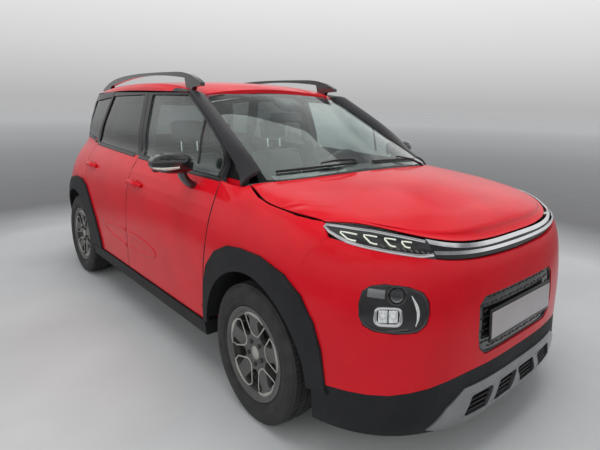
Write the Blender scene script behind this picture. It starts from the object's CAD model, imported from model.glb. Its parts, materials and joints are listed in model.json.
"""Looks of a red five-door crossover: finishes, lamps, wheels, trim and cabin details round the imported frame.

Metres. +X is forward, +Y is the car's left, +Z is up, and the ground is at z = 0.
"""

import bpy
import bmesh
import json
import math
from mathutils import Matrix, Vector
from mathutils.bvhtree import BVHTree


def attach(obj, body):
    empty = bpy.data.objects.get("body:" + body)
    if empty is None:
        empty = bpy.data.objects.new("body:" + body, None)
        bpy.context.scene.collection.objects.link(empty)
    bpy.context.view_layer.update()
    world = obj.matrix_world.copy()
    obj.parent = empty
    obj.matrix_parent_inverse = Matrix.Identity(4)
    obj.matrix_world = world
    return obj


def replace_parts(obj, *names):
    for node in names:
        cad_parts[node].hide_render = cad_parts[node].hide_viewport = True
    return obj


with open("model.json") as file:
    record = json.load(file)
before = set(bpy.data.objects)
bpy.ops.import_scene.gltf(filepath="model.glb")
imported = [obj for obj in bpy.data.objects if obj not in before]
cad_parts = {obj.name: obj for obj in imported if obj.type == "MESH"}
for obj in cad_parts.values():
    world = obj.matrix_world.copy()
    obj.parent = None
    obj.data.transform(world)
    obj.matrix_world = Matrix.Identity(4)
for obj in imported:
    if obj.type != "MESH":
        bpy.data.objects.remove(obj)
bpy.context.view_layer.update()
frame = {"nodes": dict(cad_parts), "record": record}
NODES = frame["nodes"]

# Camera, ahead of the front right corner and a little above the belt
CAMERA_PLACE = Vector((2.9774, -1.9597, 1.4556))
CAMERA_HEADING = 2.38612
CAMERA_TILT = -0.173126
CAMERA_ROLL = 0.024545
CAMERA_LENS = 28.943
CAMERA_SENSOR = 36.0
CAMERA_SHIFT = (-0.06575, -0.0618)

SIDES = (("left", 1), ("right", -1))
UP = Vector((0, 0, 1))
BACKWARD = (-1, 0, 0)
FORWARD = (1, 0, 0)
DOWN = (0, 0, -1)
# Rays that seat a piece start outside the car
AHEAD_X = 2.3
BEHIND_X = -2.4
BESIDE_Y = 1.3


# ---------------------------------------------------------------- materials

class Nodes:
    """Short calls for the few nodes that the finishes and the sky share."""

    def __init__(self, tree, coordinates):
        self.tree = tree
        source = self.add("TexCoord")
        self.place = source.outputs[coordinates]
        self.facing = source.outputs["Normal"]

    def feed(self, socket, value):
        """Sets a socket to a constant, or links another node's output to it."""
        if isinstance(value, bpy.types.NodeSocket):
            self.tree.links.new(value, socket)
        else:
            socket.default_value = value

    def add(self, kind, **inputs):
        """A new node with inputs such as To_Min=0.3."""
        node = self.tree.nodes.new("ShaderNode" + kind)
        for name, value in inputs.items():
            self.feed(node.inputs[name.replace("_", " ")], value)
        return node

    def stretch(self, scale):
        """The coordinates, stretched by a scale per axis."""
        return self.add("Mapping", Scale=scale, Vector=self.place).outputs["Vector"]

    def noise(self, scale, detail=3.0, place=None):
        return self.add("TexNoise", Scale=scale, Detail=detail, Vector=place or self.place).outputs["Fac"]

    def cells(self, scale, place=None):
        return self.add("TexVoronoi", Scale=scale, Vector=place or self.place).outputs["Distance"]

    def axis(self, letter, source=None):
        """One of the coordinates, or of the facing."""
        return self.add("SeparateXYZ", Vector=source or self.place).outputs[letter]

    def map_range(self, source, **limits):
        return self.add("MapRange", **limits, Value=source).outputs["Result"]

    def ramp(self, source, *stops):
        """Colours at shares of the source."""
        node = self.add("ValToRGB", Fac=source)
        marks = node.color_ramp.elements
        while len(marks) < len(stops):
            marks.new(0.5)
        for mark, (share, colour) in zip(marks, stops):
            mark.position = share
            mark.color = (*colour, 1)
        return node.outputs["Color"]

    def math(self, operation, a, b=0.0, c=0.0):
        node = self.add("Math")
        node.operation = operation
        for socket, value in zip(node.inputs, (a, b, c)):
            self.feed(socket, value)
        return node.outputs["Value"]

    def mix(self, share, a, b, blend="MIX"):
        """Colours a and b mixed by share, 0 to 1."""
        node = self.add("Mix")
        node.data_type = "RGBA"
        node.blend_type = blend
        for name, value in (("Factor_Float", share), ("A_Color", a), ("B_Color", b)):
            socket = next(s for s in node.inputs if s.identifier == name)
            self.feed(socket, (*value, 1) if isinstance(value, tuple) else value)
        return next(s for s in node.outputs if s.identifier == "Result_Color")

    def mix_shaders(self, share, a, b, output):
        """Shader a where share is 0 and b where it is 1, on the named output."""
        node = self.add("MixShader")
        for source, target in zip((share, a, b), node.inputs):
            self.feed(target, source)
        self.feed(self.tree.nodes[output].inputs["Surface"], node.outputs["Shader"])


class Finish(Nodes):
    """A node material on one Principled shader, in the object's own coordinates."""

    def __init__(self, name, **constants):
        self.material = bpy.data.materials.new(name)
        self.material.use_nodes = True
        super().__init__(self.material.node_tree, "Object")
        self.shader = self.tree.nodes["Principled BSDF"]
        self.set(**constants)

    def set(self, **values):
        """Constants or other nodes' outputs on the shader's own sockets, such as Coat_Weight=1."""
        for name, value in values.items():
            self.feed(self.shader.inputs[name.replace("_", " ")], value)

    def tones(self, source, dark, light, low=0.3):
        """Base colour between two tones, from the low share of the source up."""
        self.set(Base_Color=self.ramp(source, (low, dark), (0.7, light)))

    def rough(self, scale, low, high):
        """Roughness that wanders between low and high."""
        self.set(Roughness=self.map_range(self.noise(scale), To_Min=low, To_Max=high))

    def bump(self, source, depth, strength, onto="Normal"):
        node = self.add("Bump", Distance=depth, Strength=strength, Height=source)
        self.feed(self.shader.inputs[onto], node.outputs["Normal"])

    def pass_lamps(self, tint):
        """Lets lamps and soft light straight through a thin pane."""
        path = self.add("LightPath").outputs
        clear = self.add("BsdfTransparent", Color=(*tint, 1))
        share = self.math("MAXIMUM", path["Is Shadow Ray"], path["Is Diffuse Ray"])
        self.mix_shaders(share, self.shader.outputs["BSDF"], clear.outputs["BSDF"], "Material Output")


RED = ((0.56, 0.003, 0.011), (0.64, 0.0045, 0.014))
FRAME_BLACK = (0.011, 0.011, 0.012)
PAINT_COAT = 0.42
LINING_ROUGHNESS = 0.7
LINING = {
    "side": (0.045, 0.047, 0.05), "roof": (0.42, 0.42, 0.4),
    "rear": (0.04, 0.042, 0.045), "front": (0.02, 0.02, 0.021),
}
LINED_AXIS = {"side": "Y", "roof": "Z", "rear": "X", "front": "X"}
# The foot of the side glass rises towards the tail, with a step up behind the rear doors
BELT_HEIGHT = 1.0806
BELT_SLOPE = -0.019
QUARTER_X = -1.2
QUARTER_STEP = 0.025
DROP_SIZE = 0.22


def above_belt(f):
    """1 above the foot of the side glass, else 0."""
    rise = f.math("MULTIPLY", f.math("LESS_THAN", f.axis("X"), QUARTER_X), QUARTER_STEP)
    belt = f.math("ADD", f.math("MULTIPLY_ADD", f.axis("X"), BELT_SLOPE, BELT_HEIGHT), rise)
    return f.math("GREATER_THAN", f.axis("Z"), belt)


def faces_cabin(f, lined, open_to):
    """1 where the face turns from the outside by more than open_to, a cosine."""
    outward = f.axis(LINED_AXIS[lined], f.facing)
    if lined == "side":
        outward = f.math("MULTIPLY", outward, f.math("SIGN", f.axis("Y")))
    elif lined == "rear":
        outward = f.math("MULTIPLY", outward, -1.0)
    return f.math("LESS_THAN", outward, open_to)


def body_paint(name, lined=None, black_above_belt=False, open_to=-0.3):
    """Clear-coated red with drying rain drops. What faces the cabin is lined, and door frames are black."""
    f = Finish(name, Coat_Roughness=0.02, Specular_IOR_Level=0.08, Coat_Weight=PAINT_COAT)
    colour = f.ramp(f.noise(5.0), (0.3, RED[0]), (0.7, RED[1]))
    rough = f.math("MULTIPLY_ADD", f.noise(60.0), 0.1, 0.3)
    if black_above_belt:
        colour = f.mix(above_belt(f), colour, FRAME_BLACK)
    if lined:
        inside = faces_cabin(f, lined, open_to)
        colour = f.mix(inside, colour, LINING[lined])
        rough = f.math("MAXIMUM", rough, f.math("MULTIPLY", inside, LINING_ROUGHNESS))
        f.set(Coat_Weight=f.math("MULTIPLY_ADD", inside, -PAINT_COAT, PAINT_COAT))
    f.set(Base_Color=colour, Roughness=rough)
    drops = f.math("SMOOTH_MIN", f.cells(95.0), DROP_SIZE, 0.1)
    wetted = f.math("GREATER_THAN", f.noise(6.0), 0.5)
    f.bump(f.math("MULTIPLY", f.math("SUBTRACT", DROP_SIZE, drops), wetted), 0.004, 0.5, "Coat Normal")
    return f.material


def toned(name, grain, dark, light, rough=None, grains=None, cells=None, low=0.3, **constants):
    """A finish between two tones.

    grain is the scale and detail of its noise, or three scales for ribs. rough is (scale, low, high), and the
    bump of grains or cells is (scale, depth, strength).
    """
    f = Finish(name, **constants)
    source = f.noise(1.0, 0.0, f.stretch(grain)) if len(grain) == 3 else f.noise(*grain)
    f.tones(source, dark, light, low)
    if rough:
        f.rough(*rough)
    if grains:
        f.bump(f.noise(grains[0]), *grains[1:])
    if cells:
        f.bump(f.cells(cells[0]), *cells[1:])
    return f.material


def celled(name, scale, stretch, stops, rough, depth, strength, **constants):
    """A finish of stretched cells, pressed in."""
    f = Finish(name, **constants)
    cells = f.cells(scale, f.stretch(stretch))
    f.set(Base_Color=f.ramp(cells, *stops))
    f.rough(*rough)
    f.bump(cells, depth, strength)
    return f.material


def pane(name, grain, dark, light, lamp_tint, **constants):
    """A clear pane or lens that lamps shine through."""
    f = Finish(name, Transmission_Weight=1.0, Roughness=0.0, **constants)
    f.tones(f.noise(grain), dark, light)
    f.pass_lamps(lamp_tint)
    return f.material


def car_glass(name, tint, lamp_tint):
    light = tuple(c * 1.06 for c in tint)
    return pane(name, 3.0, tint, light, lamp_tint, IOR=1.03, Coat_Weight=1.0, Coat_Roughness=0.0)


def satin_black():
    return toned(
        "satin_black", (9.0,), (0.009, 0.009, 0.01), (0.015, 0.015, 0.017), (80.0, 0.32, 0.45),
        (900.0, 0.00008, 0.4), Coat_Weight=0.15, Coat_Roughness=0.3,
    )


def moulded_plastic():
    return toned(
        "moulded_plastic", (10.0,), (0.025, 0.026, 0.028), (0.038, 0.039, 0.042), (40.0, 0.5, 0.7),
        cells=(500.0, 0.0002, 0.5), Specular_IOR_Level=0.35,
    )


def cast_metal(name, dark, light, low=0.45, high=0.65, metallic=0.7):
    return toned(name, (11.0, 5.0), dark, light, (45.0, low, high), (500.0, 0.0003, 0.5), Metallic=metallic)


FINISHES = {
    "body_paint": body_paint("red_paint"),
    "side_paint": body_paint("side_paint", "side", True),
    "door_paint": body_paint("door_paint", "side", True, 0.2),
    "frame_paint": body_paint("frame_paint", "side", True, 0.6),
    "roof_paint": body_paint("roof_paint", "roof"),
    "rear_paint": body_paint("rear_paint", "rear"),
    "nose_paint": body_paint("nose_paint", "front"),
    "black_trim": satin_black(),
    "gloss_black": toned(
        "gloss_black", (7.0,), (0.007, 0.007, 0.008), (0.013, 0.013, 0.014), (50.0, 0.12, 0.22),
        Coat_Weight=1.0, Coat_Roughness=0.02,
    ),
    "grey_plastic": toned(
        "grained_plastic", (6.0,), (0.01, 0.0105, 0.0115), (0.016, 0.0165, 0.018), (35.0, 0.52, 0.7),
        cells=(620.0, 0.0003, 0.6), Specular_IOR_Level=0.28,
    ),
    "silver_paint": toned(
        "silver_paint", (8.0,), (0.24, 0.245, 0.25), (0.31, 0.315, 0.32), (60.0, 0.3, 0.42),
        (1200.0, 0.00005, 0.4), Metallic=0.85, Coat_Weight=0.4, Coat_Roughness=0.15,
    ),
    "bright_trim": toned(
        "chrome", (12.0,), (0.78, 0.79, 0.81), (0.84, 0.85, 0.86), (40.0, 0.05, 0.1), Metallic=1.0
    ),
    "lamp_lens": pane("clear_lens", 8.0, (0.93, 0.95, 0.96), (0.98, 0.99, 1.0), (0.92, 0.94, 0.95), IOR=1.4),
    # Smoked housing under a clear cover
    "lamp_black": toned(
        "lamp_black", (14.0,), (0.004, 0.004, 0.005), (0.016, 0.016, 0.018), (18.0, 0.08, 0.3), low=0.35,
        Coat_Weight=1.0, Coat_Roughness=0.01,
    ),
    "bright_lens": toned(
        "bright_lens", (260.0, 260.0, 30.0), (0.62, 0.64, 0.64), (0.93, 0.95, 0.93), (60.0, 0.08, 0.2),
        Coat_Weight=1.0, Coat_Roughness=0.02, Metallic=0.35,
    ),
    "lit_lens": toned(
        "lit_lens", (40.0,), (0.5, 0.54, 0.46), (0.66, 0.7, 0.6), Emission_Color=(0.92, 1.0, 0.8, 1),
        Emission_Strength=0.18, Roughness=0.25, Coat_Weight=1.0,
    ),
    "amber_lens": toned(
        "amber_lens", (20.0, 300.0, 300.0), (0.55, 0.5, 0.45), (0.8, 0.77, 0.72),
        Coat_Weight=1.0, Coat_Roughness=0.03, Roughness=0.25,
    ),
    "plate_white": toned(
        "plate_white", (5.0,), (0.36, 0.33, 0.34), (0.42, 0.39, 0.4), (30.0, 0.3, 0.45),
        Coat_Weight=0.4, Coat_Roughness=0.15,
    ),
    "grille_mesh": celled(
        "grille_mesh", 85.0, (0.4, 1.0, 1.4), ((0.25, (0.004, 0.004, 0.004)), (0.5, (0.03, 0.03, 0.032))),
        (30.0, 0.4, 0.6), 0.004, 1.0,
    ),
    "red_lens": toned(
        "red_lens", (1.0, 60.0, 40.0), (0.11, 0.002, 0.004), (0.26, 0.004, 0.007), (40.0, 0.08, 0.18),
        Coat_Weight=0.5, Coat_Roughness=0.02, Specular_IOR_Level=0.2,
    ),
    "clear_glass": car_glass("clear_glass", (0.80, 0.90, 0.86), (0.75, 0.83, 0.8)),
    "dark_glass": car_glass("dark_glass", (0.16, 0.18, 0.175), (0.3, 0.33, 0.32)),
    "tyre_rubber": toned(
        "tyre_rubber", (14.0, 6.0), (0.02, 0.02, 0.021), (0.036, 0.036, 0.036), (30.0, 0.6, 0.85),
        (700.0, 0.0002, 0.5), Specular_IOR_Level=0.35,
    ),
    "alloy_wheel": cast_metal("alloy_wheel", (0.085, 0.083, 0.08), (0.12, 0.118, 0.115), 0.35, 0.5, 0.45),
    "pale_alloy": cast_metal("pale_alloy", (0.4, 0.39, 0.36), (0.5, 0.49, 0.45), 0.3, 0.42),
    "cast_steel": cast_metal("cast_steel", (0.06, 0.058, 0.056), (0.11, 0.105, 0.1)),
    "engine_alloy": cast_metal("engine_alloy", (0.25, 0.25, 0.26), (0.36, 0.36, 0.37)),
    "tank_plastic": moulded_plastic(),
    "underbody_paint": cast_metal("underbody_paint", (0.05, 0.05, 0.052), (0.09, 0.09, 0.092), 0.5, 0.7, 0.1),
    "seat_fabric": celled(
        "woven_fabric", 420.0, (1.0, 1.4, 1.0), ((0.1, (0.055, 0.056, 0.06)), (0.6, (0.1, 0.1, 0.106))),
        (50.0, 0.75, 0.95), 0.0006, 0.7, Sheen_Weight=0.3, Sheen_Roughness=0.5, Specular_IOR_Level=0.2,
    ),
    "cabin_plastic": moulded_plastic(),
    "wiper_black": satin_black(),
}
# Extra finishes on pieces, and the record's slots that they belong to
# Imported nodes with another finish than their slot's own
NODE_OVER = {
    **{f"{end}_{side}_door": "door_paint" for end in ("front", "rear") for side, _ in SIDES},
    "rear_quarters": "side_paint", "side_frames": "frame_paint", "roof": "roof_paint",
    "tailgate": "rear_paint", "front_bumper": "nose_paint", "headlamps": "lamp_black",
    "running_lamps": "lamp_black", "lower_grille": "gloss_black", "roof_rails": "gloss_black",
    "left_mirror": "gloss_black", "right_mirror": "gloss_black",
}
NODE_FINISH = {part["node"]: part["material_slot"] for part in frame["record"]["subparts"]}


def finish_nodes():
    """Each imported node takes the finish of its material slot, or the one named over it."""
    for name, node in NODES.items():
        for material_slot in node.material_slots:
            material_slot.material = FINISHES[NODE_OVER.get(name, NODE_FINISH[name])]


# ---------------------------------------------------------------- stage

FLOOR_HALF = 60.0
# Distance from the car that the floor's far colours reach, and their greys at shares of it
FLOOR_REACH = 40
FLOOR_GREYS = (
    (0.11, (0.19, 0.19, 0.193)), (0.21, (0.36, 0.36, 0.363)),
    (0.4, (0.62, 0.62, 0.625)), (0.8, (0.9, 0.9, 0.905)),
)
FLOOR_EDGE = ((0.078, (0, 0, 0)), (0.112, (1, 1, 1)))
SKY_LIGHT = (0.88, 0.9, 0.92, 1)
SKY_STRENGTH = 0.55
SKY_GREYS = ((0.0, 0.46), (0.1, 0.66), (0.22, 0.85), (0.5, 0.5), (0.9, 0.34))
CLOUD_GREYS = ((0.42, (0.45, 0.46, 0.48)), (0.6, (1.7, 1.7, 1.7)))
# name, place, what it points at, size, watts
LAMPS = (
    ("roof_light", (0.5, 0.0, 5.5), (0, 0, 0), (7, 5), 260),
    ("front_light", (6.0, -3.0, 3.0), (1, 0, 0.6), (4, 3), 60),
    ("side_light", (0.5, -7.0, 3.0), (0, 0, 0.7), (6, 3), 80),
)


def pale_floor():
    """A pale clouded disc round the car, on a floor that runs on and brightens into the distance."""
    mesh = bmesh.new()
    bmesh.ops.create_grid(mesh, x_segments=1, y_segments=1, size=FLOOR_HALF)
    floor = add_mesh("floor", mesh)
    f = Finish("pale_floor", Specular_IOR_Level=0.2)
    near = f.ramp(f.noise(0.8, 6.0), (0.3, (0.44, 0.45, 0.455)), (0.7, (0.56, 0.57, 0.57)))
    length = f.add("VectorMath", Vector=f.place)
    length.operation = "LENGTH"
    reach = f.math("MULTIPLY", length.outputs["Value"], 1 / FLOOR_REACH)
    f.set(Base_Color=f.mix(f.ramp(reach, *FLOOR_EDGE), near, f.ramp(reach, *FLOOR_GREYS)))
    f.rough(3.0, 0.55, 0.75)
    floor.data.materials.append(f.material)


def soft_sky():
    """Even daylight, and a clouded grey gradient where the sky is seen, reflected or seen through glass."""
    world = bpy.data.worlds.new("soft_daylight")
    bpy.context.scene.world = world
    world.use_nodes = True
    light = world.node_tree.nodes["Background"]
    light.inputs["Color"].default_value = SKY_LIGHT
    light.inputs["Strength"].default_value = SKY_STRENGTH
    sky = Nodes(world.node_tree, "Generated")
    height = sky.axis("Z")
    shade = sky.ramp(height, *((share, (grey, grey, grey * 1.01)) for share, grey in SKY_GREYS))
    clouds = sky.ramp(sky.noise(2.2, 5.0), *CLOUD_GREYS)
    overhead = sky.map_range(height, From_Min=0.26, From_Max=0.45)
    seen = sky.add("Background", Color=sky.mix(overhead, shade, clouds, "MULTIPLY"))
    path = sky.add("LightPath").outputs
    watched = sky.math("MAXIMUM", path["Is Camera Ray"], path["Is Glossy Ray"])
    watched = sky.math("MAXIMUM", watched, path["Is Transmission Ray"])
    sky.mix_shaders(watched, light.outputs["Background"], seen.outputs["Background"], "World Output")


def soft_lamps():
    """Broad lamps above, ahead and beside the car, which gloss doesn't mirror."""
    for name, place, aim, size, power in LAMPS:
        lamp = bpy.data.lights.new(name, "AREA")
        lamp.shape = "RECTANGLE"
        lamp.size, lamp.size_y = size
        lamp.energy = power
        holder = bpy.data.objects.new(name, lamp)
        holder.location = place
        holder.rotation_euler = (Vector(place) - Vector(aim)).to_track_quat("Z", "Y").to_euler()
        holder.visible_glossy = False
        bpy.context.scene.collection.objects.link(holder)


def camera():
    data = bpy.data.cameras.new("camera")
    data.lens = CAMERA_LENS
    data.sensor_width = CAMERA_SENSOR
    data.shift_x, data.shift_y = CAMERA_SHIFT
    level = math.cos(CAMERA_TILT)
    heading = (level * math.cos(CAMERA_HEADING), level * math.sin(CAMERA_HEADING), math.sin(CAMERA_TILT))
    ahead = Vector(heading)
    right = ahead.cross(UP).normalized()
    up = right.cross(ahead)
    turned_right = math.cos(CAMERA_ROLL) * right + math.sin(CAMERA_ROLL) * up
    turned_up = math.cos(CAMERA_ROLL) * up - math.sin(CAMERA_ROLL) * right
    matrix = Matrix((turned_right, turned_up, -ahead)).transposed().to_4x4()
    matrix.translation = CAMERA_PLACE
    holder = bpy.data.objects.new("camera", data)
    holder.matrix_world = matrix
    bpy.context.scene.collection.objects.link(holder)
    bpy.context.scene.camera = holder


# ---------------------------------------------------------------- meshes

def add_object(name, data):
    piece = bpy.data.objects.new(name, data)
    bpy.context.scene.collection.objects.link(piece)
    return piece


def add_mesh(name, mesh):
    """A new object that holds the bmesh."""
    data = bpy.data.meshes.new(name)
    mesh.to_mesh(data)
    mesh.free()
    return add_object(name, data)


def finished(piece, finish, body="car_body", smooth=True):
    """Gives a new piece its finish and the body that it moves with."""
    piece.data.materials.append(FINISHES[finish])
    for face in piece.data.polygons:
        face.use_smooth = smooth
    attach(piece, body)
    return piece


def surface(*nodes):
    """Something to seat pieces on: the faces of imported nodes."""
    mesh = bmesh.new()
    for node in nodes:
        mesh.from_mesh(NODES[node].data)
    tree = BVHTree.FromBMesh(mesh)
    mesh.free()
    return tree


def touch(tree, start, way):
    """Where a straight line from start first meets the surface, with the facing there."""
    place, facing, _, _ = tree.ray_cast(Vector(start), Vector(way).normalized())
    if place is None:
        raise ValueError(f"nothing to seat on from {tuple(start)}")
    return place, facing


def touch_side(tree, x, z, sign):
    """The same, from beside the car inwards."""
    return touch(tree, (x, sign * BESIDE_Y, z), (0, -sign, 0))


def thrown(tree, starts, way, lift=0.0, reach=10.0):
    """Places, raised by lift, and facings where rays meet the surface. Those that miss it are left out."""
    places, facings = [], []
    for start in starts:
        place, facing, _, _ = tree.ray_cast(Vector(start), Vector(way), reach)
        if place is not None:
            places.append(place + facing * lift)
            facings.append(facing)
    return places, facings


def seated_line(tree, points, lift=0.0):
    """Points (y, z) thrown back onto the nose."""
    return thrown(tree, [(AHEAD_X, y, z) for y, z in points], BACKWARD, lift)


def side_line(tree, points, sign, lift=0.0, samples=1):
    """Points (x, z), with samples between, thrown inwards onto a body side."""
    path = []
    for (x0, z0), (x1, z1) in zip(points, points[1:]):
        for step in range(samples):
            t = step / samples
            path.append((x0 + (x1 - x0) * t, z0 + (z1 - z0) * t))
    path.append(points[-1])
    return thrown(tree, [(x, sign * BESIDE_Y, z) for x, z in path], (0, -sign, 0), lift, 0.9)


def bead(name, points, radius, closed=False, widths=None, facings=None, rise=None, steps=4):
    """A round bead along points. With facings it is flattened to rise above the surface it lies on."""
    line = bpy.data.curves.new(name, "CURVE")
    line.dimensions = "3D"
    line.bevel_depth = radius
    line.bevel_resolution = steps
    line.use_fill_caps = not closed
    run = line.splines.new("POLY")
    run.points.add(len(points) - 1)
    for index, (mark, point) in enumerate(zip(run.points, points)):
        mark.co = (*point, 1)
        mark.radius = widths[index] if widths else 1.0
    run.use_cyclic_u = closed
    holder = add_object(name, line)
    data = bpy.data.meshes.new_from_object(holder)
    bpy.data.objects.remove(holder)
    if facings:
        for vertex in data.vertices:
            near = min(range(len(points)), key=lambda k: (vertex.co - Vector(points[k])).length_squared)
            out = Vector(facings[near]).normalized()
            lift = (vertex.co - Vector(points[near])).dot(out)
            vertex.co += out * lift * (rise / radius - 1.0)
    return add_object(name, data)


def laid(name, line, radius, rise, closed=False, widths=None, steps=4):
    """A flattened bead along a line of places and facings."""
    places, facings = line
    return bead(name, places, radius, closed, widths, facings, rise, steps)


def joined(name, pieces):
    """Several new meshes as one piece."""
    mesh = bmesh.new()
    for piece in pieces:
        mesh.from_mesh(piece.data)
        bpy.data.objects.remove(piece)
    return add_mesh(name, mesh)


def axes(place, out, up=(0, 0, 1)):
    """Placing matrix: Z looks out, Y as near up as it can."""
    z = Vector(out).normalized()
    x = Vector(up).cross(z).normalized()
    y = z.cross(x)
    matrix = Matrix((x, y, z)).transposed().to_4x4()
    matrix.translation = Vector(place)
    return matrix


def block(name, size, matrix, edge=0.003, segments=3):
    """Box with rounded edges, size along the placing matrix's axes."""
    mesh = bmesh.new()
    bmesh.ops.create_cube(mesh, size=1.0)
    bmesh.ops.scale(mesh, vec=size, verts=mesh.verts)
    bmesh.ops.bevel(
        mesh, geom=mesh.edges[:], offset=edge, affect="EDGES", segments=segments, profile=0.5, material=-1
    )
    bmesh.ops.transform(mesh, matrix=matrix, verts=mesh.verts)
    return add_mesh(name, mesh)


def turned(name, profile, matrix, steps=48, closed=False):
    """A turned shape: profile points are (radius, height) about the placing matrix's Z axis."""
    mesh = bmesh.new()
    marks = [mesh.verts.new((radius, 0.0, height)) for radius, height in profile]
    pairs = list(zip(marks, marks[1:])) + ([(marks[-1], marks[0])] if closed else [])
    edges = [mesh.edges.new(pair) for pair in pairs]
    bmesh.ops.spin(
        mesh, geom=marks + edges, cent=(0, 0, 0), axis=(0, 0, 1), dvec=(0, 0, 0), angle=math.tau,
        steps=steps, use_merge=True, use_duplicate=False,
    )
    bmesh.ops.remove_doubles(mesh, verts=mesh.verts, dist=0.00001)
    bmesh.ops.recalc_face_normals(mesh, faces=mesh.faces)
    bmesh.ops.transform(mesh, matrix=matrix, verts=mesh.verts)
    return add_mesh(name, mesh)


def rounded(points, corner, steps=5):
    """Closed 2-D outline with its corners rounded."""
    out = []
    count = len(points)
    for index, point in enumerate(points):
        here = Vector(point)
        before = Vector(points[index - 1])
        after = Vector(points[(index + 1) % count])
        reach = min(corner, (before - here).length * 0.45, (after - here).length * 0.45)
        start = here + (before - here).normalized() * reach
        end = here + (after - here).normalized() * reach
        for step in range(steps + 1):
            t = step / steps
            out.append(tuple(start * (1 - t) ** 2 + here * 2 * t * (1 - t) + end * t * t))
    return out


# ---------------------------------------------------------------- wheels

WHEEL_Z = 0.326
WHEEL_PLACES = (("front", 1.242, 0.7565), ("rear", -1.362, 0.7455))
SPOKES = 5
SPOKE_ANGLE = 360 / SPOKES
TYRE_RADIUS = 0.326
TREAD_DEPTH = 0.0065
TREAD_INNER_RADIUS = 0.3
TREAD_RIBS = ((-0.084, -0.057), (-0.052, -0.021), (-0.016, 0.016), (0.021, 0.052), (0.057, 0.084))
# Half of the tyre's section as (radius, distance from its middle): the outer wall, then the inner
TYRE_WALL = (
    (0.2035, 0.0815), (0.2215, 0.083), (0.2235, 0.0905), (0.2275, 0.0925), (0.232, 0.0925), (0.236, 0.0975),
    (0.2600, 0.1018), (0.2630, 0.1024), (0.2660, 0.1018), (0.2850, 0.0995), (0.3010, 0.0935), (0.3100, 0.0885),
)
TYRE_LINING = ((0.306, 0.068), (0.262, 0.078), (0.2035, 0.066))
# One opening between two spokes, as (across, along the spoke)
WHEEL_OPENING = (
    (-0.02, 0.078), (0.02, 0.078), (0.083, 0.158), (0.04, 0.1865), (-0.04, 0.1865), (-0.083, 0.158),
)
RIM_FACE = 0.072
BOLT_CIRCLE = 0.054
VALVE_CIRCLE = 0.152
CALLIPER_CIRCLE = 0.118
BOLT_PROFILE = ((0, 0.014), (0.006, 0.014), (0.0095, 0.011), (0.0105, 0.0))
VALVE_PROFILE = ((0, 0.03), (0.0035, 0.03), (0.004, 0.01), (0.0055, 0.008), (0.006, -0.01))
CAP_PROFILE = ((0, 0.0075), (0.012, 0.007), (0.024, 0.0045), (0.0275, 0.001), (0.03, 0.0025), (0.032, -0.002))


def tyre(name, matrix):
    """Tyre with a crowned tread of siped blocks and a rim guard on each wall."""
    def crown(y):
        return TYRE_RADIUS - TREAD_DEPTH - 0.0045 * max(abs(y) - 0.03, 0.0) / 0.05

    def offset(face):
        return face.calc_center_median().z

    def outer(face):
        return face.calc_center_median().xy.length > TREAD_INNER_RADIUS

    tread = [(crown(y), y) for rib in TREAD_RIBS for y in rib]
    loop = [(r, -y) for r, y in TYRE_WALL] + tread + [(r, y) for r, y in reversed(TYRE_WALL)]
    loop += [(r, y) for r, y in reversed(TYRE_LINING)] + [(r, -y) for r, y in TYRE_LINING]
    piece = turned(name, loop, Matrix.Identity(4), 84, closed=True)
    mesh = bmesh.new()
    mesh.from_mesh(piece.data)
    ribs = [
        face for face in mesh.faces
        if outer(face) and any(low + 0.004 < offset(face) < high - 0.004 for low, high in TREAD_RIBS)
    ]
    bmesh.ops.inset_individual(mesh, faces=ribs, thickness=0.0017, depth=TREAD_DEPTH - 0.0003)
    shoulder = [face for face in mesh.faces if outer(face) and 0.0885 < abs(offset(face)) < 0.0975]
    bmesh.ops.inset_individual(mesh, faces=shoulder[::2], thickness=0.002, depth=0.0012)
    bmesh.ops.transform(mesh, matrix=matrix, verts=mesh.verts)
    bpy.data.objects.remove(piece)
    return add_mesh(name, mesh)


def round_axle(centre, radius, turn, out):
    """Place at a radius and a turn about the axle, moved out along it."""
    return centre + Vector((radius * math.cos(turn), out, radius * math.sin(turn)))


def machined_lips(name, tree, centre, out):
    """Pale lips round the five openings, broader on one shoulder."""
    lips = []
    straight_out = Vector((0, out, 0))
    for arm in range(SPOKES):
        turn = math.radians(SPOKE_ANGLE * arm + 90)
        points, facings, widths = [], [], []
        for across, along_spoke in rounded(WHEEL_OPENING, 0.03):
            x = along_spoke * math.cos(turn) - across * math.sin(turn)
            z = along_spoke * math.sin(turn) + across * math.cos(turn)
            start = centre + Vector((x, out * 0.3, z))
            place, facing, _, _ = tree.ray_cast(start, -straight_out, 0.3)
            if place is None or abs(place.y - centre.y) < 0.03:
                place, facing = centre + Vector((x, out * RIM_FACE, z)), straight_out
            points.append(place)
            facings.append(facing if facing.y * out > 0.5 else straight_out)
            shoulder = math.sin(math.atan2(along_spoke - 0.14, across) - 0.2)
            widths.append(0.8 + 1.1 * max(0.0, shoulder) ** 3)
        lips.append(bead(f"{name}_{arm}", points, 0.0052, True, widths, facings, 0.0022, 3))
    return joined(name, lips)


def wheel_details(name, body, centre, sign):
    """Bolts, centre cap and valve on one wheel."""
    out = (0, sign, 0)
    bolts = []
    for arm in range(SPOKES):
        place = round_axle(centre, BOLT_CIRCLE, math.radians(SPOKE_ANGLE * arm + 54), sign * 0.069)
        bolts.append(turned("bolt", BOLT_PROFILE, axes(place, out), 6))
    finished(joined(f"{name}_wheel_bolts", bolts), "cast_steel", body, smooth=False)
    cap_place = axes(centre + Vector((0, sign * 0.071, 0)), out)
    finished(turned(f"{name}_centre_cap", CAP_PROFILE, cap_place, 40), "pale_alloy", body)
    valve_place = axes(round_axle(centre, VALVE_CIRCLE, 2.2, sign * 0.052), out)
    finished(turned(f"{name}_valve", VALVE_PROFILE, valve_place, 12), "tyre_rubber", body)


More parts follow.
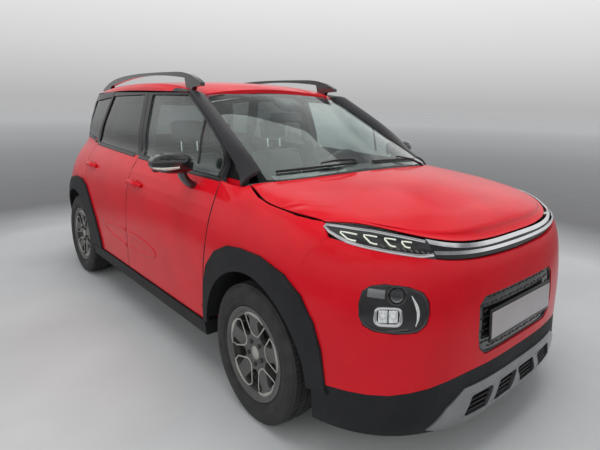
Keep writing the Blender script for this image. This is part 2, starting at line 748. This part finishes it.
def wheels():
    for end, x, y in WHEEL_PLACES:
        for side, sign in SIDES:
            name = f"{end}_{side}"
            body = f"{name}_wheel_assembly"
            centre = Vector((x, sign * y, WHEEL_Z))
            out = (0, sign, 0)
            mesh = tyre(f"{name}_treaded_tyre", axes(centre, out))
            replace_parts(finished(mesh, "tyre_rubber", body, smooth=False), f"{end}_{side}_tyre")
            lips = machined_lips(f"{name}_machined_lips", surface(f"{name}_wheel"), centre, sign)
            finished(lips, "pale_alloy", body)
            wheel_details(name, body, centre, sign)
            # The calliper stays still behind the turning wheel
            carrier, turn = (f"{side}_upright", 2.75) if end == "front" else ("car_body", 0.4)
            place = round_axle(centre, CALLIPER_CIRCLE, turn, sign * 0.006)
            up = (math.cos(turn), 0, math.sin(turn))
            calliper = block(f"{name}_calliper", (0.13, 0.052, 0.03), axes(place, out, up), 0.01, 4)
            finished(calliper, "cast_steel", carrier)


# ---------------------------------------------------------------- nose

def metres(*points):
    """Millimetre points in metres."""
    return tuple((a / 1000, b / 1000) for a, b in points)


# Lower and upper edges of the lamp band, as height by distance from the middle
BAND_LOW = metres((0, 856), (179, 861), (342, 869), (457, 882), (563, 902), (646, 917), (710, 931), (748, 945))
BAND_HIGH = metres(
    (0, 928), (112, 928), (310, 932), (422, 944), (490, 958), (571, 979), (642, 994), (705, 1000), (748, 1000)
)
LAMP_TIP = ((0.7385, 0.978), (0.7425, 0.966), (0.7385, 0.954))
# Places and drops of the day lamp's hooks
DAY_HOOKS = ((0.712, 0.019), (0.668, 0.021), (0.622, 0.02), (0.580, 0.015))
HEADLAMP = metres(
    (556, 741), (556, 696), (567, 656), (601, 629), (669, 626), (730, 636), (754, 655),
    (761, 690), (759, 735), (748, 782), (728, 806), (690, 814), (625, 804), (576, 780),
)
HEADLAMP_MIDDLE = (0.6585, 0.72)
FOG_LENS = (0.688, 0.694)
PROJECTOR_RING = ((0.030, 0.0), (0.031, 0.004), (0.0345, 0.0055), (0.038, 0.004), (0.039, 0.0))
PROJECTOR_LENS = ((0, 0.0085), (0.010, 0.0078), (0.020, 0.0055), (0.028, 0.0015), (0.029, -0.002))
FOG_EYE = ((0, 0.0075), (0.006, 0.006), (0.0105, 0.003), (0.0115, -0.001))
GRILLE = metres(
    (-325, 560), (-312, 500), (-268, 466), (268, 466), (312, 500), (325, 560), (322, 686),
    (285, 718), (-285, 718), (-322, 686),
)
GRILLE_MIDDLE_Z = 0.592
SKID_OPENINGS = (-0.288, -0.096, 0.096, 0.288)
SKID_LOW, SKID_HIGH = 0.212, 0.328
SKID_MIDDLE_Z = 0.269


def along(curve, value):
    """Straight-line reading of a curve of (value, height) pairs."""
    for (a, low), (b, high) in zip(curve, curve[1:]):
        if value <= b:
            return low + (high - low) * (value - a) / (b - a)
    return curve[-1][1]


def day_hook(y, drop):
    """Outline of one glowing hook, open at its lower end."""
    top = along(BAND_HIGH, y) - 0.029
    return [
        (y - 0.020, top - 0.004), (y - 0.004, top - 0.001), (y + 0.008, top), (y + 0.012, top - 0.004),
        (y + 0.012, top - drop), (y + 0.006, top - drop - 0.003), (y - 0.002, top - drop - 0.004),
    ]


def running_lamps():
    """Bright rim, glowing hooks and dark reflector ribs in each upper lamp."""
    tree = surface("running_lamps", "front_bumper", "front_fenders", "hood", "chrome_bars")
    ys = [0.512 + 0.0145 * k for k in range(16)]
    high = [(y, along(BAND_HIGH, y) - 0.0155) for y in ys]
    low = [(y, along(BAND_LOW, y) + 0.004 + 0.010 * max(0.0, (0.56 - y) / 0.05)) for y in ys]
    rim = [*high, *LAMP_TIP, *low[::-1]]
    for side, sign in SIDES:
        def seated(points, lift):
            return seated_line(tree, [(sign * y, z) for y, z in points], lift)

        finished(laid(f"{side}_running_lamp_rim", seated(rim, 0.001), 0.0068, 0.0045), "bright_trim")
        hooks = [
            laid("hook", seated(day_hook(y, drop), 0.0008), 0.0036, 0.0024, steps=3) for y, drop in DAY_HOOKS
        ]
        finished(joined(f"{side}_day_lamp_hooks", hooks), "lit_lens")
        ribs = []
        for y in [0.53 + 0.0185 * k for k in range(11)]:
            top = along(BAND_HIGH, y) - 0.052
            base = along(BAND_LOW, y) + 0.014
            if top - base >= 0.006:
                line = seated([(y, top), (y - 0.003, (top + base) / 2), (y - 0.006, base)], 0.0004)
                ribs.append(laid("rib", line, 0.0045, 0.0018, steps=2))
        finished(joined(f"{side}_running_lamp_reflectors", ribs), "alloy_wheel")


def headlamp(side, sign, glass):
    """Seal, fog lens, projector, reflector and light guide on one lower lamp."""
    middle = Vector((sign * HEADLAMP_MIDDLE[0], HEADLAMP_MIDDLE[1]))
    outline = rounded([(sign * y, z) for y, z in HEADLAMP], 0.03, 3)
    inner = [tuple(middle + (Vector(point) - middle) * 0.945) for point in outline]
    seal = laid(f"{side}_headlamp_seal", seated_line(glass, inner, 0.001), 0.006, 0.004, True)
    finished(seal, "gloss_black")
    centre, out = touch(glass, (AHEAD_X, sign * FOG_LENS[0], FOG_LENS[1]), BACKWARD)
    out = Vector((out.x, out.y, 0)).normalized()

    def spot(a, b, lift=0.0):
        """Place on the lamp's face, a across towards the nose and b up from the fog lens."""
        across = UP.cross(out) * (a * sign * -1)
        place, facing = touch(glass, centre + across + Vector((0, 0, b)) + out * 0.2, -out)
        return place + facing * lift, facing

    def spots(points, lift):
        """Places and facings of several spots."""
        return tuple(zip(*(spot(a, b, lift) for a, b in points)))

    ring = rounded([(-0.047, -0.031), (0.047, -0.034), (0.047, 0.031), (-0.047, 0.031)], 0.022, 5)
    widths = [1.15 if b < 0 else 0.85 for _, b in ring]
    fog_frame = laid(f"{side}_fog_lens_frame", spots(ring, 0.003), 0.0062, 0.0052, True, widths)
    finished(fog_frame, "bright_trim")
    lenses = []
    for a in (-0.019, 0.019):
        place, facing = spot(a, 0.0, 0.0015)
        lenses.append(block("lens", (0.034, 0.048, 0.006), axes(place, facing), 0.0028, 3))
        lenses.append(turned("eye", FOG_EYE, axes(place + facing * 0.001, facing), 24))
    finished(joined(f"{side}_fog_lens", lenses), "bright_lens")
    projector = axes(*spot(0.03, 0.078, 0.0005))
    finished(turned(f"{side}_projector_ring", PROJECTOR_RING, projector, 40), "gloss_black")
    finished(turned(f"{side}_projector_lens", PROJECTOR_LENS, projector, 36), "lamp_lens")
    reflector = axes(*spot(-0.045, 0.083), (0.1, 0, 1))
    finished(block(f"{side}_main_reflector", (0.066, 0.034, 0.006), reflector, 0.0028, 3), "silver_paint")
    turns = [k * 0.2 for k in range(13)]
    sweep = spots([(0.085 + 0.028 * math.sin(t), 0.075 - 0.115 * t / 2.4) for t in turns], 0.001)
    widths = [0.35 + 1.2 * math.sin(math.pi * k / 12) for k in range(13)]
    guide = laid(f"{side}_lamp_light_guide", sweep, 0.0042, 0.0022, False, widths)
    finished(guide, "bright_lens")
    low = spots([(-0.085 + 0.02 * k, -0.052 - 0.004 * math.sin(k * 0.5)) for k in range(9)], 0.001)
    finished(laid(f"{side}_lamp_lower_blade", low, 0.0035, 0.0022), "alloy_wheel")


def headlamps():
    glass = surface("headlamps")
    for side, sign in SIDES:
        headlamp(side, sign, glass)


def has_grille_bar(y, z):
    """Whether a bar stands here: inside the opening's corners and clear of the plate."""
    behind_plate = abs(y) < 0.245 and 0.505 < z < 0.665
    in_corner = abs(y) > 0.27 and not 0.51 <= z <= 0.69
    return abs(y) <= 0.298 and not behind_plate and not in_corner


def lower_grille():
    """Rows of small rounded bars over the dark opening, the plate bracket and a blank plate."""
    tree = surface("lower_grille")
    bars = []
    for row in range(9):
        z = 0.492 + 0.0262 * row
        for column in range(-9, 10):
            y = 0.034 * column + (0.017 if row % 2 else 0.0)
            if has_grille_bar(y, z):
                tilt = 0.16 if (row + column) % 2 else -0.16
                place, facing = touch(tree, (AHEAD_X, y, z), BACKWARD)
                bars.append(block("bar", (0.027, 0.0075, 0.007), axes(place, facing, (0, tilt, 1)), 0.003, 2))
    finished(joined("grille_relief", bars), "black_trim")
    border = rounded([(y * 0.985, GRILLE_MIDDLE_Z + (z - GRILLE_MIDDLE_Z) * 0.975) for y, z in GRILLE], 0.03, 4)
    finished(laid("grille_border", seated_line(tree, border, 0.002), 0.0062, 0.0048, True), "black_trim")
    place, _ = touch(tree, (AHEAD_X, 0, 0.588), BACKWARD)
    facing = (1, 0, 0.04)
    bracket = axes(place + Vector((0.010, 0, 0)), facing)
    finished(block("plate_bracket", (0.535, 0.140, 0.010), bracket, 0.004, 3), "black_trim")
    plate = axes(place + Vector((0.0165, 0, 0.002)), facing)
    finished(block("blank_plate", (0.520, 0.112, 0.003), plate, 0.0013, 3), "plate_white")


def chin():
    """Dark ribbed inserts behind the four openings of the skid plate, each with a pale lip."""
    plate = surface("skid_plate")
    lips, backs, ribs = [], [], []
    for y in SKID_OPENINGS:
        lean = math.copysign(0.022, y)
        corners = [(y - 0.074 + lean, 0.226), (y - 0.074 - lean, 0.312), (y + 0.074 - lean, 0.312),
                   (y + 0.074 + lean, 0.226)]
        centre = Vector((y, SKID_MIDDLE_Z))
        outer = [tuple(centre + (Vector(point) - centre) * 1.09) for point in rounded(corners, 0.016, 4)]
        lips.append(laid("lip", seated_line(plate, outer), 0.0045, 0.0022, True, steps=3))
        low, low_out = touch(plate, (AHEAD_X, y, SKID_LOW), BACKWARD)
        high, high_out = touch(plate, (AHEAD_X, y, SKID_HIGH), BACKWARD)
        out = (low_out + high_out) / 2
        backs.append(block("back", (0.205, 0.115, 0.004), axes((low + high) / 2 - out * 0.026, out), 0.0015, 2))
        for z in [0.238 + 0.0205 * k for k in range(4)]:
            x = low.lerp(high, (z - SKID_LOW) / (SKID_HIGH - SKID_LOW)).x
            seat = Vector((x, y - lean * (z - SKID_MIDDLE_Z) / 0.043, z)) - out * 0.013
            ribs.append(block("rib", (0.142, 0.006, 0.016), axes(seat, out), 0.0025, 2))
    finished(joined("skid_opening_lips", lips), "silver_paint")
    finished(joined("skid_opening_backs", backs), "grille_mesh")
    finished(joined("skid_opening_ribs", ribs), "black_trim")


# ---------------------------------------------------------------- sides

# Foot of the side glass, as (x, z)
FRONT_BELT = ((0.812, 1.0585), (0.765, 1.0605), (0.4, 1.0665), (0.0, 1.074), (-0.213, 1.078))
REAR_BELT = ((-0.295, 1.079), (-0.7, 1.088), (-1.118, 1.097))
QUARTER_BELT = ((-1.19, 1.106), (-1.24, 1.118), (-1.31, 1.130), (-1.4, 1.135), (-1.49, 1.137), (-1.52, 1.16))
# Slim posts over the front door's glass, as name, line and width
GLASS_POSTS = (
    ("quarter_light_bar", ((0.503, 1.352), (0.517, 1.215), (0.524, 1.078)), 0.0095),
    ("sail_panel_bar", ((0.752, 1.232), (0.768, 1.15), (0.772, 1.072)), 0.0085),
)
HANDLES = (("front", -0.092, 0.924), ("rear", -0.985, 0.945))
HANDLE_HALF = 0.098
HANDLE_STEPS = 16
HANDLE_REST, HANDLE_PROUD = 0.004, 0.026
SCOOP = ((-0.062, -0.03), (0.062, -0.03), (0.062, 0.031), (-0.062, 0.031))
LOCK_COVER = ((0, 0.010), (0.006, 0.0095), (0.010, 0.007), (0.0115, 0.0))
# The oval pressed across both doors, and the stretch of it that lies on each
RELIEF_MIDDLE = (-0.215, 0.545)
RELIEF_HALF = (0.44, 0.052)
RELIEF_SPANS = (("front", -0.203, 0.225), ("rear", -0.655, -0.247))
MIRROR_FROM_X = 1.2
MIRROR_RIM = ((-0.076, -0.041), (0.076, -0.041), (0.076, 0.041), (-0.076, 0.041))
SCREEN_FROM_Z = 1.8


def belt_trims():
    """Dark mouldings along the foot of the side glass, and slim posts across the front door's glass."""
    for side, sign in SIDES:
        front_door = f"front_{side}_door_assembly"
        for name, node, line, body in (
            ("front_door_belt", f"front_{side}_door", FRONT_BELT, front_door),
            ("rear_door_belt", f"rear_{side}_door", REAR_BELT, f"rear_{side}_door_assembly"),
            ("quarter_belt", "rear_quarters", QUARTER_BELT, "car_body"),
        ):
            seat = side_line(surface(node), line, sign, 0.0, 6)
            finished(laid(f"{side}_{name}", seat, 0.0095, 0.0045), "black_trim", body)
        glass = surface(f"front_{side}_window", f"front_{side}_door")
        for name, line, width in GLASS_POSTS:
            seat = side_line(glass, line, sign, 0.0005, 4)
            finished(laid(f"{side}_{name}", seat, width, 0.004), "black_trim", front_door)


def handle_pull(name, tree, x, z, sign, out):
    """The pull: it rises from the door at both ends and is thickest in the middle."""
    line, widths = [], []
    for step in range(HANDLE_STEPS + 1):
        t = step / HANDLE_STEPS
        arch = math.sin(math.pi * t)
        place, facing = touch_side(tree, x - HANDLE_HALF + 2 * HANDLE_HALF * t, z + 0.004 * arch, sign)
        line.append(place + facing * (HANDLE_REST + HANDLE_PROUD * min(1.0, 3.4 * t, 3.4 * (1 - t))))
        widths.append(0.75 + 0.35 * arch)
    return bead(name, line, 0.0155, False, widths, [out] * len(line), 0.0105, 5)


def door_handles():
    """Painted pull handles over shallow scoops, with a lock cover on the front doors."""
    for side, sign in SIDES:
        for end, x, z in HANDLES:
            name = f"{end}_{side}"
            body = f"{name}_door_assembly"
            tree = surface(f"{name}_door")
            middle, out = touch_side(tree, x, z, sign)
            finished(handle_pull(f"{name}_door_handle", tree, x, z, sign, out), "body_paint", body)
            corners = [(x + across, z + up) for across, up in SCOOP]
            scoop = side_line(tree, rounded(corners, 0.03, 6), sign)
            finished(laid(f"{name}_handle_scoop", scoop, 0.005, 0.0022, True), "body_paint", body)
            dish = [(0, 0.0006), (0.026, 0.0006), (0.030, -0.001)]
            finished(turned(f"{name}_handle_shadow", dish, axes(middle, out), 36), "body_paint", body)
            if end == "front":
                place, facing = touch_side(tree, x - 0.085, z - 0.001, sign)
                lock = turned(f"{side}_lock_cover", LOCK_COVER, axes(place + facing * 0.02, facing), 24)
                finished(lock, "body_paint", body)


def door_creases():
    """The long soft oval pressed into both lower doors."""
    # From the rear tip over the top and back, so that each door's share is one run
    turns = [math.pi * k / 40 for k in range(81)]
    oval = [
        (RELIEF_MIDDLE[0] + RELIEF_HALF[0] * math.cos(t), RELIEF_MIDDLE[1] + RELIEF_HALF[1] * math.sin(t))
        for t in turns
    ]
    from_rear_tip = oval[40:] + oval[1:40]
    for side, sign in SIDES:
        for end, low, high in RELIEF_SPANS:
            run = from_rear_tip if end == "front" else oval
            line = [point for point in run if low <= point[0] <= high]
            seat = side_line(surface(f"{end}_{side}_door"), line, sign)
            relief = laid(f"{end}_{side}_door_relief", seat, 0.014, 0.0035, steps=5)
            finished(relief, "body_paint", f"{end}_{side}_door_assembly")


def mirror_line(tree, sign, low, high, count, height, lift=0.0):
    """A line across a mirror's front at a height given by index."""
    ys = [sign * (low + (high - low) * k / (count - 1)) for k in range(count)]
    return thrown(tree, [(MIRROR_FROM_X, y, height(k)) for k, y in enumerate(ys)], BACKWARD, lift)


def mirrors():
    """Indicator, split line and glass of each door mirror."""
    for side, sign in SIDES:
        body = f"front_{side}_door_assembly"
        tree = surface(f"{side}_mirror")
        line = mirror_line(tree, sign, 0.895, 1.007, 15, lambda k: 1.118 - 0.004 * math.sin(k * 0.2), 0.0006)
        widths = [0.5 + 0.8 * math.sin(math.pi * (k + 3) / 19) for k in range(15)]
        indicator = laid(f"{side}_mirror_indicator", line, 0.0062, 0.003, False, widths)
        finished(indicator, "amber_lens", body)
        line = mirror_line(tree, sign, 0.822, 0.998, 24, lambda k: 1.108)
        split = laid(f"{side}_mirror_split_line", line, 0.003, 0.0012, steps=2)
        finished(split, "black_trim", body)
        centre, _ = touch(tree, (0.3, sign * 0.905, 1.128), FORWARD)
        glass_place = axes(centre + Vector((-0.001, 0, 0)), (-1, sign * 0.02, 0))
        glass = block(f"{side}_mirror_glass", (0.142, 0.074, 0.004), glass_place, 0.0018, 3)
        finished(glass, "bright_trim", body)
        rim = [centre + Vector((-0.002, a, b)) for a, b in rounded(MIRROR_RIM, 0.02, 5)]
        finished(bead(f"{side}_mirror_glass_rim", rim, 0.005, True), "gloss_black", body)


def screen_details():
    """Dark band along the windscreen's top, and the sensor housing and cabin mirror behind it."""
    screen = surface("windscreen")
    ys = [-0.55 + 1.1 * k / 24 for k in range(25)]
    starts = [(0.252 + 0.02 * (y / 0.55) ** 2, y, SCREEN_FROM_Z) for y in ys]
    top = thrown(screen, starts, DOWN, 0.0005)
    finished(laid("windscreen_top_band", top, 0.011, 0.0016), "black_trim")
    place, _ = touch(screen, (0.39, 0.0, 1.1), UP)
    housing = axes(place + Vector((-0.008, 0, -0.03)), (0.38, 0, 0.92), FORWARD)
    finished(block("sensor_housing", (0.17, 0.135, 0.05), housing, 0.018, 4), "cabin_plastic")
    mirror = Vector((place.x - 0.03, 0.0, place.z - 0.115))
    backward = (-1, 0, -0.12)
    finished(block("cabin_mirror", (0.245, 0.066, 0.03), axes(mirror, backward), 0.014, 5), "cabin_plastic")
    glass = axes(mirror + Vector((-0.0155, 0, -0.002)), backward)
    finished(block("cabin_mirror_glass", (0.226, 0.05, 0.003), glass, 0.0013, 3), "bright_trim")
    stem = [mirror + Vector((0.01, 0, 0.01)), mirror + Vector((0.03, 0, 0.05)), place + Vector((0, 0, -0.02))]
    finished(bead("cabin_mirror_stem", stem, 0.008), "cabin_plastic")


def wiper_arms():
    """Cranked arms from the scuttle to the blades."""
    blades = surface("wipers")
    scuttle_tree = surface("cowl", "windscreen")
    cap = [(0, 0.018), (0.008, 0.0175), (0.013, 0.013), (0.0145, 0.0)]
    for name, pivot_y, blade_y in (("left_wiper_arm", 0.50, 0.265), ("right_wiper_arm", -0.10, -0.325)):
        seat, _, _, _ = blades.find_nearest(Vector((1.09, blade_y, 1.16)))
        scuttle, _ = touch(scuttle_tree, (1.118, pivot_y, 1.5), DOWN)
        line = [
            scuttle + Vector((0, 0, 0.002)), scuttle + Vector((-0.006, 0, 0.02)),
            (scuttle + seat) / 2 + Vector((0.012, 0, 0.024)),
            seat + Vector((0.004, 0, 0.014)), seat + Vector((0, 0, 0.006)),
        ]
        finished(bead(name, line, 0.0062, False, (1.6, 1.5, 1.1, 0.8, 0.7)), "wiper_black")
        finished(turned(f"{name}_cap", cap, axes(scuttle, (0.2, 0, 1)), 24), "wiper_black")


# ---------------------------------------------------------------- tail

LAMP_RING = ((-0.006, 0.0), (-0.004, 0.0025), (0, 0.003), (0.003, 0.0))


def tail_lamps():
    """Lens rings in the tail lamps and a reflector below each."""
    lamps = surface("tail_lamps")
    bumper = surface("rear_bumper")
    for side, sign in SIDES:
        rings = []
        for z, radius in ((0.995, 0.026), (0.93, 0.022)):
            place, facing, _, _ = lamps.ray_cast(Vector((BEHIND_X, sign * 0.655, z)), Vector(FORWARD))
            if place is not None:
                profile = [(radius + wider, height) for wider, height in LAMP_RING]
                rings.append(turned("ring", profile, axes(place, facing), 32))
        if rings:
            finished(joined(f"{side}_tail_lamp_rings", rings), "red_lens")
        reflector = axes(*touch(bumper, (BEHIND_X, sign * 0.62, 0.50), FORWARD))
        finished(block(f"{side}_rear_reflector", (0.15, 0.032, 0.005), reflector, 0.0022, 3), "red_lens")


REAR_WIPER_CAP = ((0, 0.026), (0.010, 0.025), (0.016, 0.018), (0.018, 0.0))


def rear_wiper():
    """Tapered arm, blade and pivot cap on the tailgate's glass."""
    glass = surface("tailgate_window")

    def raised(y, z, lift):
        place, facing = touch(glass, (BEHIND_X, y, z), FORWARD)
        return place + facing * lift

    arm = [raised(0.0, 1.135, 0.014), *[raised(-0.036 * k, 1.135 + 0.011 * k, 0.012) for k in range(1, 9)]]
    taper = [1.5, 1.3, 1.2, 1.1, 1.0, 0.9, 0.85, 0.8, 0.7]
    finished(bead("rear_wiper_arm", arm, 0.0055, False, taper), "wiper_black", "tailgate_assembly")
    blade = [raised(-0.05 - 0.04 * k, 1.118 + 0.014 * k, 0.0045) for k in range(9)]
    finished(bead("rear_wiper_blade", blade, 0.004), "wiper_black", "tailgate_assembly")
    cap = turned("rear_wiper_cap", REAR_WIPER_CAP, axes(raised(0.0, 1.135, 0.0), (-1, 0, 0.2)), 28)
    finished(cap, "wiper_black", "tailgate_assembly")


def tail():
    """Handle bar, blank plate, wiper, lamps and the pale strip on the dark bumper."""
    tail_lamps()
    gate = surface("tailgate", "rear_bumper", "tailgate_window")
    place, facing = touch(gate, (BEHIND_X, 0.0, 0.885), FORWARD)
    bar = block("rear_handle_bar", (0.46, 0.034, 0.014), axes(place + facing * 0.003, facing), 0.006, 4)
    finished(bar, "body_paint")
    place, facing = touch(gate, (BEHIND_X, 0.0, 0.82), FORWARD)
    bed = block("rear_plate_bed", (0.54, 0.128, 0.005), axes(place, facing), 0.002, 3)
    finished(bed, "black_trim")
    plate = block("rear_blank_plate", (0.52, 0.112, 0.003), axes(place + facing * 0.0035, facing), 0.0013, 3)
    finished(plate, "plate_white")
    rear_wiper()
    strip = axes(*touch(surface("rear_lower_bumper"), (BEHIND_X, 0.0, 0.3), FORWARD))
    finished(block("rear_skid_strip", (0.7, 0.085, 0.006), strip, 0.0028, 3), "silver_paint")
    for name in ("rear_handle_bar", "rear_plate_bed", "rear_blank_plate"):
        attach(bpy.data.objects[name], "tailgate_assembly")


# ---------------------------------------------------------------- cabin

CLOTH_FRAMES = 14
CLOTH_PRESSURE = 4.0
CLOTH_MASS = 0.3
CHANNEL_WIDTH = 0.008
BENCH_CHANNELS = ((1, -0.19, 0.010), (1, 0.19, 0.010))
BENCH_VOXEL = 0.014
# The driver's place across the car, and the rake of the steering column
DRIVER_Y = 0.37
COLUMN_RAKE = math.radians(24)
KNOB_PROFILE = ((0, 0.052), (0.012, 0.05), (0.021, 0.038), (0.022, 0.022), (0.015, 0.004), (0.009, 0.0))


def apply_modifiers(piece):
    """The piece's mesh as its modifiers leave it, with none left on it."""
    depsgraph = bpy.context.evaluated_depsgraph_get()
    data = bpy.data.meshes.new_from_object(piece.evaluated_get(depsgraph))
    piece.modifiers.clear()
    piece.data = data


def remesh(piece, voxel):
    """Even faces, so that the cloth can swell."""
    modifier = piece.modifiers.new("even", "REMESH")
    modifier.mode = "VOXEL"
    modifier.voxel_size = voxel
    apply_modifiers(piece)


def stuff(piece, swell):
    """Swells the piece as cloth under pressure, where no point moves further than swell."""
    modifier = piece.modifiers.new("stuffing", "CLOTH")
    modifier.settings.use_pressure = True
    modifier.settings.uniform_pressure_force = CLOTH_PRESSURE
    modifier.settings.effector_weights.gravity = 0.0
    modifier.settings.mass = CLOTH_MASS
    modifier.point_cache.frame_start = 1
    modifier.point_cache.frame_end = CLOTH_FRAMES
    before = [vertex.co.copy() for vertex in piece.data.vertices]
    for number in range(1, CLOTH_FRAMES + 1):
        bpy.context.scene.frame_set(number)
    apply_modifiers(piece)
    for vertex, old in zip(piece.data.vertices, before):
        move = vertex.co - old
        if move.length > swell:
            vertex.co = old + move.normalized() * swell
    bpy.context.scene.frame_set(1)


def padded_form(name, size, matrix, edge, swell=0.014, channels=(), voxel=0.011):
    """A stuffed seat part: a rounded block, remeshed, swollen as cloth and drawn in along its sewn channels."""
    inner = tuple(length - 2 * swell * 0.7 for length in size)
    piece = block(name, inner, Matrix.Identity(4), edge, 4)
    remesh(piece, voxel)
    stuff(piece, swell)
    for axis, place, depth in channels:
        for vertex in piece.data.vertices:
            if vertex.co.z > 0:
                gap = abs(vertex.co[axis] - place)
                vertex.co.z -= depth * math.exp(-((gap / CHANNEL_WIDTH) ** 2))
    mesh = bmesh.new()
    mesh.from_mesh(piece.data)
    bmesh.ops.smooth_vert(
        mesh, verts=mesh.verts, factor=0.4, use_axis_x=True, use_axis_y=True, use_axis_z=True
    )
    bmesh.ops.transform(mesh, matrix=matrix, verts=mesh.verts)
    bpy.data.objects.remove(piece)
    return add_mesh(name, mesh)


def leaning(place, degrees):
    """Placing matrix of a seat part that stands on its edge and leans back."""
    return Matrix.Translation(place) @ Matrix.Rotation(math.radians(-degrees), 4, "Y")


def upholstered(*pieces):
    for piece in pieces:
        finished(piece, "seat_fabric")


def front_seat(side, y):
    """Cushion and back with side bolsters, head restraint on two posts, and base."""
    cushion = padded_form(
        f"{side}_seat_cushion", (0.50, 0.50, 0.17), Matrix.Translation((0.067, y, 0.467)), 0.055, 0.014,
        ((1, -0.145, 0.010), (1, 0.145, 0.010), (0, 0.02, 0.008)),
    )
    back = padded_form(
        f"{side}_seat_back", (0.54, 0.47, 0.135),
        leaning((-0.195, y, 0.835), 107) @ Matrix.Rotation(math.pi, 4, "Z"), 0.05, 0.014,
        ((1, -0.135, 0.010), (1, 0.135, 0.010), (0, -0.04, 0.008)),
    )
    head_place = leaning((-0.317, y, 1.235), 100)
    head = padded_form(f"{side}_head_restraint", (0.165, 0.255, 0.088), head_place, 0.038, 0.008)
    upholstered(cushion, back, head)
    posts = [
        bead("post", [(-0.296, y + across, 1.09), (-0.305, y + across, 1.19)], 0.006)
        for across in (-0.06, 0.06)
    ]
    finished(joined(f"{side}_head_restraint_posts", posts), "bright_trim")
    base_place = Matrix.Translation((0.072, y, 0.2965))
    finished(block(f"{side}_seat_base", (0.42, 0.38, 0.127), base_place, 0.02, 3), "cabin_plastic")


def seats():
    """Two front seats and the rear bench."""
    for side, sign in SIDES:
        front_seat(side, sign * DRIVER_Y)
    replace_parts(bpy.data.objects["left_seat_cushion"], "front_seats")
    bench = padded_form(
        "bench_cushion", (0.50, 1.12, 0.125), Matrix.Translation((-0.795, 0, 0.522)), 0.045, 0.012,
        BENCH_CHANNELS, BENCH_VOXEL,
    )
    back = padded_form(
        "bench_back", (0.60, 1.12, 0.125),
        leaning((-1.09, 0, 0.775), 107) @ Matrix.Rotation(math.pi, 4, "Z"), 0.05, 0.012,
        BENCH_CHANNELS, BENCH_VOXEL,
    )
    upholstered(bench, back)
    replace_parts(bench, "rear_bench")


def dashboard_vents(dash):
    """Four slatted air outlets."""
    parts = []
    for y in (-0.53, -0.16, 0.16, 0.54):
        here, _ = touch(dash, (0.2, y, 0.92), FORWARD)
        frame_place = axes(here + Vector((-0.003, 0, 0)), (-1, 0, 0.15))
        parts.append(block("vent", (0.085, 0.11, 0.012), frame_place, 0.005, 3))
        for k in range(5):
            slat_place = axes(here + Vector((-0.010, 0, -0.036 + 0.018 * k)), (-1, 0, 0.3))
            parts.append(block("slat", (0.07, 0.004, 0.012), slat_place, 0.0015, 2))
    finished(joined("dashboard_vents", parts), "black_trim")


def cabin():
    """Screen, vents, instrument hood, the steering wheel's centre pad and the gear lever."""
    dash = surface("dashboard")
    place, _ = touch(dash, (0.2, 0.0, 0.955), FORWARD)
    screen = axes(place + Vector((-0.004, 0, 0)), (-1, 0, 0.22))
    finished(block("centre_screen", (0.2, 0.115, 0.012), screen, 0.005, 3), "lamp_black")
    dashboard_vents(dash)
    place, _ = touch(dash, (0.78, DRIVER_Y, 1.3), DOWN)
    hood = axes(place + Vector((-0.06, 0, 0.008)), (0.1, 0, 1), FORWARD)
    finished(block("instrument_hood", (0.34, 0.17, 0.05), hood, 0.022, 4), "cabin_plastic")
    place, _ = touch(surface("steering_wheel"), (0.1, DRIVER_Y, 1.13), (0.91, 0, -0.41))
    pad = axes(place, (-math.cos(COLUMN_RAKE), 0, math.sin(COLUMN_RAKE)))
    finished(block("steering_pad", (0.13, 0.105, 0.022), pad, 0.01, 4), "cabin_plastic", "steering")
    foot, _ = touch(dash, (0.34, 0.0, 0.8), DOWN)
    stalk = bead("gear_lever", [foot, foot + Vector((0.004, 0, 0.05)), foot + Vector((0.0, 0, 0.095))], 0.008)
    finished(stalk, "black_trim")
    knob = turned("gear_knob", KNOB_PROFILE, axes(foot + Vector((0, 0, 0.085)), UP), 28)
    finished(knob, "gloss_black")


finish_nodes()
pale_floor()
soft_sky()
soft_lamps()
camera()
wheels()
running_lamps()
headlamps()
lower_grille()
chin()
belt_trims()
door_handles()
door_creases()
mirrors()
screen_details()
wiper_arms()
tail()
cabin()
seats()

bpy.context.scene.view_settings.view_transform = "Standard"
